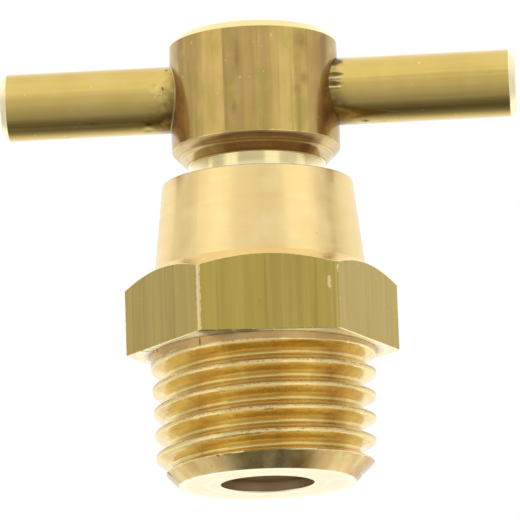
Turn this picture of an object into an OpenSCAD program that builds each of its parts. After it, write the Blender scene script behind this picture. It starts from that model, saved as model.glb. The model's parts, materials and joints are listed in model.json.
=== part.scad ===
// Brass drain cock with a taper pipe thread, a hexagon, a screw-down spindle and a pressed-in tee bar.
// The origin is the centre of the inlet end face and +Z runs up the spindle's axis.
// All lengths are in millimetres and all angles in degrees. The valve is drawn shut.

/* [Pipe thread] */
// Major diameter of the taper thread at its gauge plane
thread_d = 13.16; // [12.8:0.02:13.4]
// Distance from the inlet end to the gauge plane
gauge_l = 6; // [4:0.1:7]
// Growth in diameter for each unit of length
taper_share = 0.0625; // [0.04:0.0025:0.08]
// Distance from one turn of the thread to the next
thread_pitch = 1.337; // [1.25:0.001:1.45]
// Depth of the thread, from crest to root
thread_depth = 0.856; // [0.7:0.004:0.9]
// Angle of each flank of the thread
flank_angle = 27.5; // [25:0.5:30]
// Length from the inlet end to the underside of the hexagon
thread_l = 7.8; // [6.8:0.1:9]
// Distance from the end of the thread's last turn to the hexagon
plain_l = 0.45; // [0.3:0.05:1]
// Size of the 45 degree chamfer at the inlet end
end_chamfer = 1.2; // [0.8:0.05:1.3]

/* [Body] */
// Size of the hexagon across its flats
hex_af = 14; // [13.6:0.1:17]
// Height of the hexagon at its corners, under the bevel
hex_h = 3.9; // [3:0.05:6]
// Slope of the bevel over the hexagon's corners
bevel_angle = 30; // [25:1:50]
// Length of the tapered top of the body
cone_l = 5.2; // [3.5:0.1:7]
// Slope of the tapered top
cone_angle = 6.4; // [2:0.2:9]
// Wall of the body at its rim
rim_wall = 1.65; // [1.3:0.05:2]
// Chamfer on the outside of the rim
rim_break = 0.12; // [0.05:0.01:0.3]
// Chamfer at the mouth of the spindle's bore
mouth_chamfer = 0.5; // [0.2:0.05:0.8]

/* [Water way] */
// Diameter of the inlet bore
bore_d = 5.5; // [4.6:0.1:6]
// Width of the raised ring that the washer shuts on
seat_w = 0.5; // [0.3:0.05:0.7]
// Height of that ring above the floor of the chamber
seat_h = 0.4; // [0.2:0.05:0.8]
// Height of the chamber's floor above the underside of the hexagon
floor_rise = 0.4; // [0.2:0.1:1]
// How far the washer reaches past the seat on each side
washer_lap = 0.25; // [0.1:0.05:0.4]
// Gap left round the washer for the water
flow_gap = 0.5; // [0.3:0.05:0.7]

/* [Spindle] */
// Gap between the spindle's shank and its bore, on each side
shank_play = 0.08; // [0.03:0.01:0.1]
// Diameter of the neck under the head
neck_d = 5.8; // [5:0.1:6.4]
// Depth of the shank's shoulder below the rim
shoulder_drop = 1.7; // [1:0.1:2.5]
// Distance across the two flats that let the water past
flats_af = 6.2; // [5.4:0.1:6.8]
// Chamfer at the lower end of the shank
nose_chamfer = 0.4; // [0.2:0.05:0.6]
// Gap between the rim and the head when the valve is shut
head_gap = 1.15; // [0.6:0.05:3]
// Diameter of the head
head_d = 10; // [8.8:0.1:12]
// Height of the head
head_l = 7.8; // [7:0.1:10]
// Size of the 45 degree cone under the head
head_under = 0.95; // [0.4:0.05:1.2]
// Chamfer on the top of the head
head_bevel = 0.45; // [0.2:0.05:0.8]

/* [Tee bar] */
// Diameter of the bar
bar_d = 4; // [3:0.1:4.2]
// Length of the bar
bar_l = 30.6; // [24:0.2:40]
// Height of the bar's axis above the underside of the head
bar_rise = 4.35; // [3.6:0.05:4.6]
// How far the bar is pushed to one side
bar_offset = 0.25; // [0:0.05:1]
// Chamfer at each end of the bar
bar_chamfer = 0.35; // [0.2:0.05:0.8]
// Angle between the bar and the flats of the hexagon when the valve is shut
tee_turn = -7; // [-30:1:30]
// How far the serrated band of the bar stands out of the head
knurl_out = 0.5; // [0.2:0.05:1]
// How far the serrated band stops short of the head's other side
knurl_in = 1; // [0.5:0.1:2]
// How far the serrations stand above the bar
knurl_h = 0.06; // [0.04:0.01:0.1]
// Number of serrations round the bar
knurl_teeth = 22; // [16:1:40]

/* [Jumper and washer] */
// Thickness of the seat washer
washer_t = 1.2; // [0.8:0.1:1.6]
// Thickness of the jumper's plate
plate_t = 1; // [0.6:0.1:1.4]
// Diameter of the stud that holds the washer
stud_d = 2; // [1.4:0.1:2.6]
// How far the stud stops short of the washer's face
stud_short = 0.4; // [0.2:0.05:0.6]
// Diameter of the jumper's stem
stem_d = 2.6; // [1.8:0.1:3]
// Length of the jumper's stem above its plate
stem_l = 3.4; // [2:0.1:4]
// Gap round the stem in its hole, on each side
stem_play = 0.08; // [0.03:0.01:0.1]
// Depth left above the stem in its hole
stem_room = 0.5; // [0.2:0.1:1]
// Chamfer on the tip of the stem
stem_chamfer = 0.3; // [0.1:0.05:0.5]

/* [Hidden] */
$fn = 96;

// How far cuts run past the faces that they open
overrun = 0.3;

// Radii and heights of the body
hex_corner_r = hex_af / 2 / cos(30);
bore_r = bore_d / 2;
seat_r = bore_r + seat_w;
washer_r = seat_r + washer_lap;
tap_r = washer_r + flow_gap;
rim_r = tap_r + rim_wall;
cone_base_r = rim_r + cone_l * tan(cone_angle);
corner_z = thread_l + hex_h;
bevel_z = corner_z + (hex_corner_r - cone_base_r) * tan(bevel_angle);
rim_z = bevel_z + cone_l;
floor_z = thread_l + floor_rise;
seat_z = floor_z + seat_h;

// Heights of the pieces that stand on the seat
plate_z = seat_z + washer_t;
nose_z = plate_z + plate_t;
shoulder_z = rim_z - shoulder_drop;
head_z = rim_z + head_gap;
head_top_z = head_z + head_l;
bar_z = head_z + bar_rise;

// Radii of the spindle and the bar
shank_r = tap_r - shank_play;
neck_r = neck_d / 2;
head_r = head_d / 2;
bar_r = bar_d / 2;
stem_r = stem_d / 2;
stud_r = stud_d / 2;

// Share of a serration's height at which its valleys lie
knurl_valley_share = 0.2;

// Form of the thread's groove, which has flat crests and a flat bottom
crest_flat = thread_pitch / 2 - thread_depth * tan(flank_angle);
groove_half = (thread_pitch - crest_flat) / 2;
// The cutter for the groove stands clear of the crests by this much
cutter_clear_share = 0.3;
cutter_out = cutter_clear_share * crest_flat / tan(flank_angle);
// Steps of the groove in a turn, angle over which it runs out, and its height on the +X side
turn_steps = 36;
runout_angle = 120;
groove_start_share = 0.257;

// Crest radius of the taper thread at a height
function crest_r(z) = thread_d / 2 + (z - gauge_l) * taper_share / 2;

// The groove's angle on the helix where it first and last meets the thread
helix_from = -360 * (1 + groove_start_share);
helix_to = 360 * ((thread_l - plain_l) / thread_pitch - groove_start_share);
helix_steps = ceil((helix_to - helix_from) * turn_steps / 360);

// Height of the groove's middle at an angle, and the share of its depth that is left there
function groove_z(a) = thread_pitch * (groove_start_share + a / 360);
function depth_share(a) = min(1, max(0, (helix_to - a) / runout_angle));

// The four corners of the groove's section at an angle: bottom low, bottom high, outside high, outside low
function groove_corners(a) =
    let (z = groove_z(a),
         lost = (1 - depth_share(a)) * (thread_depth + cutter_out / 2),
         outer_half = groove_half + cutter_out * tan(flank_angle),
         bottom_r = crest_r(z) - thread_depth + lost,
         outer_r = crest_r(z) + cutter_out,
         bottom_half = outer_half - (outer_r - bottom_r + lost) * tan(flank_angle))
    [for (c = [[bottom_r, -bottom_half], [bottom_r, bottom_half],
               [outer_r, outer_half - lost * tan(flank_angle)],
               [outer_r, -outer_half + lost * tan(flank_angle)]])
        [c[0] * cos(a), c[0] * sin(a), z + c[1]]];

// Solid that cuts the helical groove: a closed sweep of the four-cornered section
module groove_cutter() {
    sides = 4;
    points = [for (i = [0:helix_steps])
        each groove_corners(helix_from + (helix_to - helix_from) * i / helix_steps)];
    last = helix_steps * sides;
    walls = [for (i = [0:helix_steps - 1], s = [0:sides - 1])
        let (a = i * sides + s, b = i * sides + (s + 1) % sides)
        each [[a, a + sides, b + sides], [a, b + sides, b]]];
    ends = [[0, 1, 2], [0, 2, 3], [last, last + 2, last + 1], [last, last + 3, last + 2]];
    polyhedron(points = points, faces = concat(walls, ends), convexity = 10);
}

// Taper of the pipe thread before the groove is cut, up to the floor of the chamber
module thread_blank() {
    rotate_extrude()
        polygon([
            [0, 0],
            [crest_r(0) - end_chamfer, 0],
            [crest_r(end_chamfer), end_chamfer],
            [crest_r(thread_l), thread_l],
            [crest_r(thread_l), floor_z],
            [0, floor_z]
        ]);
}

// Hexagon with its bevelled corners, and the tapered top
module hexagon_and_top() {
    intersection() {
        translate([0, 0, thread_l])
            cylinder(r = hex_corner_r, h = rim_z - thread_l, $fn = 6);
        rotate_extrude()
            polygon([
                [0, thread_l - overrun],
                [hex_corner_r + overrun, thread_l - overrun],
                [hex_corner_r + overrun, corner_z - overrun * tan(bevel_angle)],
                [cone_base_r, bevel_z],
                [rim_r + rim_break * tan(cone_angle), rim_z - rim_break],
                [rim_r - rim_break, rim_z],
                [0, rim_z]
            ]);
    }
}

// Everything that is bored out of the body: inlet, raised seat, chamber and mouth
module water_way() {
    rotate_extrude()
        polygon([
            [0, -overrun],
            [bore_r, -overrun],
            [bore_r, seat_z],
            [seat_r, seat_z],
            [seat_r, floor_z],
            [tap_r, floor_z],
            [tap_r, rim_z - mouth_chamfer],
            [tap_r + mouth_chamfer + overrun, rim_z + overrun],
            [0, rim_z + overrun]
        ]);
}

// Turned and threaded body
module body() {
    color([0.84, 0.72, 0.42])
        difference() {
            union() {
                difference() {
                    thread_blank();
                    groove_cutter();
                }
                hexagon_and_top();
            }
            water_way();
        }
}

// Spindle in one piece: shank with two flats, neck and head, cross-bored for the bar
module spindle() {
    color([0.80, 0.68, 0.40])
        difference() {
            rotate_extrude()
                polygon([
                    [0, nose_z],
                    [shank_r - nose_chamfer, nose_z],
                    [shank_r, nose_z + nose_chamfer],
                    [shank_r, shoulder_z - (shank_r - neck_r)],
                    [neck_r, shoulder_z],
                    [neck_r, head_z],
                    [head_r - head_under, head_z],
                    [head_r, head_z + head_under],
                    [head_r, head_top_z - head_bevel],
                    [head_r - head_bevel, head_top_z],
                    [0, head_top_z]
                ]);
            for (side = [-1, 1])
                translate([side * (flats_af / 2 + tap_r / 2), 0, (nose_z + shoulder_z) / 2])
                    cube([tap_r, 2 * tap_r, shoulder_z - nose_z + 2 * overrun], center = true);
            translate([0, 0, nose_z - overrun])
                cylinder(r = stem_r + stem_play, h = stem_l + stem_room + overrun);
            rotate([0, 0, tee_turn])
                translate([-head_r - overrun, 0, bar_z])
                    rotate([0, 90, 0])
                        cylinder(r = bar_r, h = head_d + 2 * overrun);
        }
}

// Outline of the serrated band, with straight-sided teeth
module serration_outline() {
    valley_r = bar_r + knurl_valley_share * knurl_h;
    polygon([for (t = [0:knurl_teeth - 1], half = [0, 1])
        let (a = 360 * (t + half / 2) / knurl_teeth,
             r = half == 0 ? bar_r + knurl_h : valley_r)
        [r * cos(a), r * sin(a)]]);
}

// Round bar with chamfered ends and a serrated band where it is pressed through the head
module tee_bar() {
    color([0.82, 0.68, 0.34])
        rotate([0, 0, tee_turn])
            translate([0, 0, bar_z])
                rotate([0, 90, 0]) {
                    translate([0, 0, bar_offset - bar_l / 2])
                        rotate_extrude()
                            polygon([
                                [0, 0],
                                [bar_r - bar_chamfer, 0],
                                [bar_r, bar_chamfer],
                                [bar_r, bar_l - bar_chamfer],
                                [bar_r - bar_chamfer, bar_l],
                                [0, bar_l]
                            ]);
                    translate([0, 0, knurl_in - head_r])
                        linear_extrude(height = head_d - knurl_in + knurl_out)
                            serration_outline();
                }
}

// Jumper: stud for the washer, plate that the spindle pushes on, and loose stem
module jumper() {
    color([0.78, 0.66, 0.36])
        rotate_extrude()
            polygon([
                [0, seat_z + stud_short],
                [stud_r, seat_z + stud_short],
                [stud_r, plate_z],
                [washer_r, plate_z],
                [washer_r, nose_z],
                [stem_r, nose_z],
                [stem_r, nose_z + stem_l - stem_chamfer],
                [stem_r - stem_chamfer, nose_z + stem_l],
                [0, nose_z + stem_l]
            ]);
}

// Soft washer on the jumper's stud
module seat_washer() {
    color([0.12, 0.12, 0.13])
        translate([0, 0, seat_z])
            rotate_extrude()
                translate([stud_r, 0])
                    square([washer_r - stud_r, washer_t]);
}

body();
spindle();
tee_bar();
jumper();
seat_washer();
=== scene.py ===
import json
import math

import bmesh
import bpy
from mathutils import Matrix, Vector

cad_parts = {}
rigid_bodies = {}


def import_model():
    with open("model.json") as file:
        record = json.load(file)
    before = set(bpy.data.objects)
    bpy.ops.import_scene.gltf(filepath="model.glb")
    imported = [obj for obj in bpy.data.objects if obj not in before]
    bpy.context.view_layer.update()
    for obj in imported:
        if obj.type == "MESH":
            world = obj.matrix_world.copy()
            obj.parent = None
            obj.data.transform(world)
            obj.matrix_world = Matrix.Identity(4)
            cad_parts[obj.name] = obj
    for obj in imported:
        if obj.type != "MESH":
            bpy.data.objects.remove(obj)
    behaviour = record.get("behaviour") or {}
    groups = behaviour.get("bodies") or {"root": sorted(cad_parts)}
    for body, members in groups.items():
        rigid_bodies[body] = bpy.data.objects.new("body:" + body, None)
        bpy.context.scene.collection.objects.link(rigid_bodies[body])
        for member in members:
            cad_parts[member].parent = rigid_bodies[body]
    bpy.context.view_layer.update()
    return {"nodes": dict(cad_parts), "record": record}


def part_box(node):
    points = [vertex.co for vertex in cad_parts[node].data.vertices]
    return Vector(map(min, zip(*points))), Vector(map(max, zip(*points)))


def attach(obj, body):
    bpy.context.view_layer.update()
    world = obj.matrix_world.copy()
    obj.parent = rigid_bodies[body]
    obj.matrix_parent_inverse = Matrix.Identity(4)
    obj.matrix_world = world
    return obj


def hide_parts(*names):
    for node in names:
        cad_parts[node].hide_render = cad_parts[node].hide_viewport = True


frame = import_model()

mm = 0.001
mergeDistance = 0.002

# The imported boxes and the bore's mount give the sizes that the CAD already holds
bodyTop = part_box("body")[1] / mm
spindleLow, spindleTop = (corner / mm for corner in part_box("spindle"))
mounts = {mount["name"]: mount for mount in frame["record"]["mounts"]}
boreRadius = mounts["inlet_bore"]["dims"]["r_mm"]
barHeight = (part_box("tee_bar")[0].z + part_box("tee_bar")[1].z) / 2 / mm


# Nodes and sockets

def feed(tree, socket, value):
    # Links a field or a socket, and sets anything else as the socket's own value
    if isinstance(value, Field):
        value = value.socket
    if isinstance(value, bpy.types.NodeSocket):
        tree.links.new(value, socket)
    else:
        socket.default_value = value


def addNode(tree, kind, inputs=None, **settings):
    node = tree.nodes.new(kind)
    for name, value in settings.items():
        setattr(node, name, value)
    for name, value in (inputs or {}).items():
        feed(tree, node.inputs[name], value)
    return node


class Field:
    # A number that changes over a surface; arithmetic on it adds Math nodes to its tree
    def __init__(self, tree, socket):
        self.tree = tree
        self.socket = socket

    def math(self, operation, *others, clamp=False):
        node = addNode(self.tree, "ShaderNodeMath", operation=operation, use_clamp=clamp)
        for slot, value in enumerate((self, *others)):
            feed(self.tree, node.inputs[slot], value)
        return Field(self.tree, node.outputs[0])

    def __add__(self, other):
        return self.math("ADD", other)

    def __sub__(self, other):
        return self.math("SUBTRACT", other)

    def __mul__(self, other):
        return self.math("MULTIPLY", other)

    def __truediv__(self, other):
        return self.math("DIVIDE", other)

    def ramp(self, start, end, low=0.0, high=1.0):
        # Smooth step from low to high while the field goes from start to end
        node = addNode(self.tree, "ShaderNodeMapRange", interpolation_type="SMOOTHSTEP")
        for slot, value in enumerate((self, start, end, low, high)):
            feed(self.tree, node.inputs[slot], value)
        return Field(self.tree, node.outputs[0])


def splitVector(tree, vector):
    node = addNode(tree, "ShaderNodeSeparateXYZ", {"Vector": vector})
    return [Field(tree, out) for out in node.outputs]


def joinVector(tree, x, y, z):
    return addNode(tree, "ShaderNodeCombineXYZ", {"X": x, "Y": y, "Z": z}).outputs[0]


def addNoise(tree, vector, scale, detail=2.0, shift=0.0):
    # Noise from 0 to 1; the shift moves it to another place, so that two never match
    moved = addNode(tree, "ShaderNodeVectorMath", {0: vector, 1: (shift, shift, shift)}, operation="ADD")
    node = addNode(tree, "ShaderNodeTexNoise", {
        "Vector": moved.outputs[0], "Scale": scale, "Detail": detail})
    return Field(tree, node.outputs[0])


def colorRamp(tree, factor, stops, low, high):
    # Ramp whose stops are (value, brightness), with values from low to high
    node = addNode(tree, "ShaderNodeValToRGB", {"Fac": (factor - low) / (high - low)})
    ramp = node.color_ramp
    ramp.interpolation = "EASE"
    while len(ramp.elements) < len(stops):
        ramp.elements.new(0.5)
    for element, (value, bright) in zip(ramp.elements, stops):
        element.position = (value - low) / (high - low)
        element.color = (bright, bright, bright, 1.0)
    return Field(tree, node.outputs[0])


def newTree(name, kind, inputs, outputs):
    # Group with named sockets; returns the tree, its inputs as fields and its output node
    tree = bpy.data.node_groups.new(name, kind)
    for direction, sockets in (("INPUT", inputs), ("OUTPUT", outputs)):
        for label, kindOfSocket, *default in sockets:
            socket = tree.interface.new_socket(
                label, in_out=direction, socket_type="NodeSocket" + kindOfSocket)
            if default:
                socket.default_value = default[0]
    given = tree.nodes.new("NodeGroupInput")
    fields = {out.name: Field(tree, out) for out in given.outputs if out.name}
    return tree, fields, tree.nodes.new("NodeGroupOutput")


def runNodes(name, tree, values):
    # Sets the tree's named inputs on an empty piece and keeps the result as a plain mesh
    piece = bpy.data.objects.new(name, bpy.data.meshes.new(name))
    bpy.context.scene.collection.objects.link(piece)
    modifier = piece.modifiers.new("shape", "NODES")
    modifier.node_group = tree
    sockets = [item for item in tree.interface.items_tree if item.in_out == "INPUT"]
    identifiers = {socket.name: socket.identifier for socket in sockets}
    for label, value in values.items():
        modifier[identifiers[label]] = value
    depsgraph = bpy.context.evaluated_depsgraph_get()
    mesh = bpy.data.meshes.new_from_object(piece.evaluated_get(depsgraph))
    piece.modifiers.remove(modifier)
    piece.data = mesh
    return piece


# Meshes

def roundCorner(before, corner, after, radius, steps, hold):
    # Fillet of a section's corner, with a point on each side that keeps the flat faces flat
    into = (Vector(before) - Vector(corner)).normalized()
    out = (Vector(after) - Vector(corner)).normalized()
    half = into.angle(out) / 2
    reach = radius / math.tan(half)
    centre = Vector(corner) + (into + out).normalized() * (radius / math.sin(half))
    start = Vector(corner) + into * reach - centre
    end = Vector(corner) + out * reach - centre
    turn = start.angle_signed(end)
    points = [Vector(corner) + into * (reach + hold)]
    for step in range(steps + 1):
        angle = -turn * step / steps
        points.append(centre + Matrix.Rotation(angle, 2) @ start)
    points.append(Vector(corner) + out * (reach + hold))
    return points


def fillSection(corners, hold=0.03, arcSteps=3):
    # Corners are (radius, height, fillet, steps to the next corner, share of the warp);
    # the result is a list of (radius, height, share of the warp)
    stretches = []
    for i, (radius, height, fillet, steps, warp) in enumerate(corners):
        if fillet:
            before, after = corners[i - 1][:2], corners[i + 1][:2]
            points = roundCorner(before, (radius, height), after, fillet, arcSteps, hold)
        else:
            points = [Vector((radius, height))]
        stretches.append([Vector((point.x, point.y, warp)) for point in points])
    section = []
    for here, following, corner in zip(stretches, stretches[1:], corners):
        section += here
        steps = corner[3]
        section += [here[-1].lerp(following[0], step / steps) for step in range(1, steps)]
    return section + stretches[-1]


def gridMesh(name, rows, closeRows=False):
    # Each row is a ring of points; a ring that repeats one point becomes a pole when doubles are merged
    columns = len(rows[0])
    faces = []
    for low in range(len(rows) if closeRows else len(rows) - 1):
        high = (low + 1) % len(rows)
        for left in range(columns):
            right = (left + 1) % columns
            faces.append([row * columns + column for row, column in (
                (low, left), (low, right), (high, right), (high, left))])
    mesh = bpy.data.meshes.new(name)
    mesh.from_pydata([point * mm for row in rows for point in row], [], faces)
    return mesh


def cleanMesh(mesh, sharpAngle=38.0, fullBend=26.0, wearAt=None, dirtAndShadeAt=None, addFrom=None, addSlot=0):
    # Joins a second mesh if one is given, merges doubles, marks convex edges as worn and sets the shading
    bm = bmesh.new()
    bm.from_mesh(mesh)
    if addFrom:
        known = len(bm.faces)
        bm.from_mesh(addFrom)
        bm.faces.ensure_lookup_table()
        for face in bm.faces[known:]:
            face.material_index = addSlot
    bmesh.ops.remove_doubles(bm, verts=bm.verts, dist=mergeDistance * mm)
    wear = bm.verts.layers.float.new("edgeWear")
    # Darkening per point: dirt and painted shade
    grime = bm.verts.layers.float.new("grime")
    for vert in bm.verts:
        bend = max((edge.calc_face_angle_signed(0.0) for edge in vert.link_edges), default=0.0)
        amount = bend / math.radians(fullBend)
        if wearAt:
            amount = wearAt(vert.co / mm, amount)
        vert[wear] = min(1.0, max(0.0, amount))
        vert[grime] = min(1.0, max(0.0, dirtAndShadeAt(vert.co / mm))) if dirtAndShadeAt else 0.0
    bm.to_mesh(mesh)
    bm.free()
    mesh.shade_smooth()
    mesh.set_sharp_from_angle(angle=math.radians(sharpAngle))
    return mesh


def cutAway(piece, cutter):
    # Takes the cutter's shape out of a piece and deletes the cutter
    modifier = piece.modifiers.new("cut", "BOOLEAN")
    modifier.operation = "DIFFERENCE"
    modifier.solver = "EXACT"
    modifier.object = cutter
    depsgraph = bpy.context.evaluated_depsgraph_get()
    mesh = bpy.data.meshes.new_from_object(piece.evaluated_get(depsgraph))
    piece.modifiers.remove(modifier)
    bpy.data.objects.remove(cutter)
    piece.data = mesh


def addPiece(name, mesh, body, slot, *nodes):
    piece = bpy.data.objects.new(name, mesh)
    bpy.context.scene.collection.objects.link(piece)
    return placePiece(piece, body, slot, *nodes)


def placePiece(piece, body, slot, *nodes):
    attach(piece, body)
    if nodes:
        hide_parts(*nodes)
    return piece


# Finishes

markShape = {
    # Where noise turns into a mark: start and end of the smooth step
    "stain": (0.35, 0.68), "pale": (0.4, 0.75), "line": (0.58, 0.7), "edge": (0.25, 0.55),
    "grime": (0.1, 0.9),
    # Noise scales as shares of the group's own scale
    "paleScale": 1.7, "lineScale": 0.6, "outlineScale": 2.5, "clusterScale": 0.12,
    # Tool marks: shares of the fine and the broad relief
    "fineShare": 0.6, "broadShare": 0.4,
    # Specks: least value and spread of outline and size, soft share of the radius, and how they cluster
    "outlineLow": 0.7, "outlineSpread": 0.6, "sizeLow": 0.2, "sizeSpread": 0.8, "softShare": 0.5,
    "cluster": (0.4, 0.6, 0.2, 1.8),
}


def makeToneGroup():
    # Brass colour with stains and pale patches, stretched along the vector's Z
    tree, given, result = newTree("brassTone", "ShaderNodeTree", [
        ("Vector", "Vector"), ("Tone", "Color"), ("Stain", "Color"), ("Pale", "Color"),
        ("Patch Scale", "Float", 500.0), ("Stretch", "Float", 1.0),
        ("Stain Share", "Float", 0.4), ("Pale Share", "Float", 0.3)], [("Color", "Color")])
    x, y, z = splitVector(tree, given["Vector"])
    place = joinVector(tree, x, y, z / given["Stretch"])
    stain = addNoise(tree, place, given["Patch Scale"], 3.0).ramp(*markShape["stain"]) * given["Stain Share"]
    pale = addNoise(tree, place, given["Patch Scale"] * markShape["paleScale"], 2.0, shift=0.13)
    pale = pale.ramp(*markShape["pale"]) * given["Pale Share"]
    stained = mixColors(tree, stain, given["Tone"], given["Stain"])
    feed(tree, result.inputs["Color"], mixColors(tree, pale, stained, given["Pale"]))
    return tree


def makeMarksGroup():
    # Tool marks that run along the vector's Z: fine relief, broad streaks and thin dark lines
    tree, given, result = newTree("toolMarks", "ShaderNodeTree", [
        ("Vector", "Vector"), ("Fine Scale", "Float", 8000.0), ("Broad Scale", "Float", 1200.0),
        ("Run", "Float", 0.02), ("Soft", "Float", 0.2)], [
        ("Height", "Float"), ("Streak", "Float"), ("Line", "Float")])
    x, y, z = splitVector(tree, given["Vector"])
    place = joinVector(tree, x, y, z * given["Run"])
    fine = addNoise(tree, place, given["Fine Scale"], 3.0)
    broad = addNoise(tree, place, given["Broad Scale"], 2.0, shift=0.07)
    thin = addNoise(tree, place, given["Fine Scale"] * markShape["lineScale"], 2.0, shift=0.19)
    feed(tree, result.inputs["Height"], fine * markShape["fineShare"] + broad * markShape["broadShare"])
    feed(tree, result.inputs["Streak"], broad.ramp(given["Soft"] * -1.0 + 0.5, given["Soft"] + 0.5))
    feed(tree, result.inputs["Line"], thin.ramp(*markShape["line"]))
    return tree


def makeSpecksGroup():
    # Small scattered marks of uneven size and outline, in loose clusters
    tree, given, result = newTree("specks", "ShaderNodeTree", [
        ("Vector", "Vector"), ("Scale", "Float", 2000.0), ("Share", "Float", 0.1),
        ("Size", "Float", 0.5)], [("Mask", "Float")])
    cells = addNode(tree, "ShaderNodeTexVoronoi", {"Vector": given["Vector"], "Scale": given["Scale"]})
    chance, size, _ = splitVector(tree, cells.outputs["Color"])
    uneven = addNoise(tree, given["Vector"], given["Scale"] * markShape["outlineScale"], 2.0, shift=0.03)
    uneven = uneven * markShape["outlineSpread"] + markShape["outlineLow"]
    distance = Field(tree, cells.outputs["Distance"]) * uneven
    cluster = addNoise(tree, given["Vector"], given["Scale"] * markShape["clusterScale"], 1.0, shift=0.11)
    cluster = cluster.ramp(*markShape["cluster"])
    chosen = chance.math("LESS_THAN", cluster * given["Share"])
    radius = (size * size * markShape["sizeSpread"] + markShape["sizeLow"]) * given["Size"]
    feed(tree, result.inputs["Mask"], distance.ramp(radius, radius * markShape["softShare"]) * chosen)
    return tree


def makeEdgeGroup():
    # Worn convex edges with a ragged border
    tree, given, result = newTree("edgeShine", "ShaderNodeTree", [
        ("Vector", "Vector"), ("Wear", "Float", 0.0), ("Break Scale", "Float", 3500.0),
        ("Break", "Float", 0.9), ("Amount", "Float", 1.0)], [("Mask", "Float")])
    jagged = (addNoise(tree, given["Vector"], given["Break Scale"], 3.0) - 0.5) * given["Break"]
    worn = (given["Wear"] + jagged).ramp(*markShape["edge"])
    feed(tree, result.inputs["Mask"], worn.math("MULTIPLY", given["Amount"], clamp=True))
    return tree


def mixColors(tree, factor, first, second):
    node = addNode(tree, "ShaderNodeMix", data_type="RGBA")
    for slot, value in ((0, factor), (6, first), (7, second)):
        feed(tree, node.inputs[slot], value)
    return node.outputs[2]


def placeGroup(tree, group, inputs):
    node = tree.nodes.new("ShaderNodeGroup")
    node.node_tree = group
    for name, value in inputs.items():
        feed(tree, node.inputs[name], value)
    return node


def turnedVector(tree, place):
    # Turning marks are rings, so they depend only on the distance from the axis and the height
    x, y, z = splitVector(tree, place)
    radius = (x * x + y * y).math("SQRT")
    return joinVector(tree, radius, z, radius * 0.0)


def brassMaterial(name, finish):
    material = bpy.data.materials.new(name)
    material.use_nodes = True
    tree = material.node_tree
    tree.nodes.clear()
    place = addNode(tree, "ShaderNodeTexCoord").outputs["Object"]
    along = place
    if finish["marks"] == "turned":
        along = turnedVector(tree, place)
    aside, front, _ = splitVector(tree, place)
    if finish["marks"] == "bar":
        level = addNode(tree, "ShaderNodeMapping", {
            "Vector": place, "Location": (0.0, 0.0, -barHeight * mm),
            "Rotation": (0.0, 0.0, math.radians(-barShape["turn"]))}).outputs[0]
        along = addNode(tree, "ShaderNodeMapping", {
            "Vector": level, "Rotation": (0.0, math.radians(-90.0), 0.0)}).outputs[0]
        _, front, aside = splitVector(tree, level)

    base = finish["tone"]
    if "bands" in finish:
        # Painted light and shade: the tone changes with the angle from the front, as reflections would; the
        # back repeats the bands of the front
        around = aside.math("ARCTAN2", front * -1.0) * (180 / math.pi)
        folded = (around + 270.0).math("MODULO", 180.0) - 90.0
        base = mixColors(tree, colorRamp(tree, folded, finish["bands"], -90, 90), finish["bandDark"], base)
    tone = placeGroup(tree, groups["tone"], {
        "Vector": place, "Tone": base, "Stain": finish["stain"], "Pale": finish["pale"],
        "Patch Scale": finish["patchScale"], "Stretch": finish["stretch"],
        "Stain Share": finish["stainShare"], "Pale Share": finish["paleShare"]})
    marks = placeGroup(tree, groups["marks"], {
        "Vector": along, "Fine Scale": finish["fineScale"], "Broad Scale": finish["broadScale"],
        "Run": finish["run"], "Soft": finish["soft"]})
    pits = placeGroup(tree, groups["specks"], {
        "Vector": place, "Scale": finish["pitScale"], "Share": finish["pitShare"]})
    nicks = placeGroup(tree, groups["specks"], {
        "Vector": along, "Scale": finish["nickScale"], "Share": finish["nickShare"]})
    wear = addNode(tree, "ShaderNodeAttribute", attribute_name="edgeWear").outputs["Fac"]
    edge = Field(tree, placeGroup(tree, groups["edge"], {
        "Vector": place, "Wear": wear, "Break Scale": finish["breakScale"], "Break": finish["edgeBreak"],
        "Amount": finish["edgeAmount"]}).outputs["Mask"])

    streak = Field(tree, marks.outputs["Streak"])
    line = Field(tree, marks.outputs["Line"])
    pit = Field(tree, pits.outputs["Mask"])
    nick = Field(tree, nicks.outputs["Mask"])
    color = mixColors(tree, streak * finish["streakShare"], tone.outputs["Color"], finish["streak"])
    color = mixColors(tree, line * finish["lineShare"], color, finish["line"])
    color = mixColors(tree, pit * finish["pitDark"], color, finish["pit"])
    color = mixColors(tree, edge.math("MAXIMUM", nick * finish["nickBright"]), color, finish["edge"])
    # Darkening stored on the mesh: dirt spots, and painted shade where the bar meets the head, on the
    # crests' upper halves and in the serrations' gaps
    grime = Field(tree, addNode(tree, "ShaderNodeAttribute", attribute_name="grime").outputs["Fac"])
    breakUp = (addNoise(tree, place, finish["grimeScale"], 3.0, shift=0.23) - 0.5) * finish["grimeBreak"]
    dirtAndShadeMask = (grime + breakUp).ramp(*markShape["grime"])
    color = mixColors(tree, dirtAndShadeMask * finish["grimeShare"], color, finish["grime"])
    # Painted reflection: metal seen in other metal shows a set colour, paler or darker than its real one, or
    # twice reflected brass would turn orange
    mirrored = Field(tree, addNode(tree, "ShaderNodeLightPath").outputs["Is Glossy Ray"])
    color = mixColors(tree, mirrored * finish["mirrorShare"], color, finish["mirror"])
    roughness = streak.ramp(0.0, 1.0, finish["smooth"], finish["rough"])
    roughness = roughness + pit * finish["pitRough"] + dirtAndShadeMask * finish["grimeRough"]
    height = Field(tree, marks.outputs["Height"]) - pit * finish["pitDeep"]
    bump = addNode(tree, "ShaderNodeBump", {
        "Height": height, "Strength": finish["bump"], "Distance": finish["bumpDepth"] * mm})
    shader = addNode(tree, "ShaderNodeBsdfPrincipled", {
        "Base Color": color, "Roughness": roughness, "Metallic": 1.0, "Normal": bump.outputs[0]})
    output = tree.nodes.new("ShaderNodeOutputMaterial")
    tree.links.new(shader.outputs[0], output.inputs["Surface"])
    return material


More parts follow.
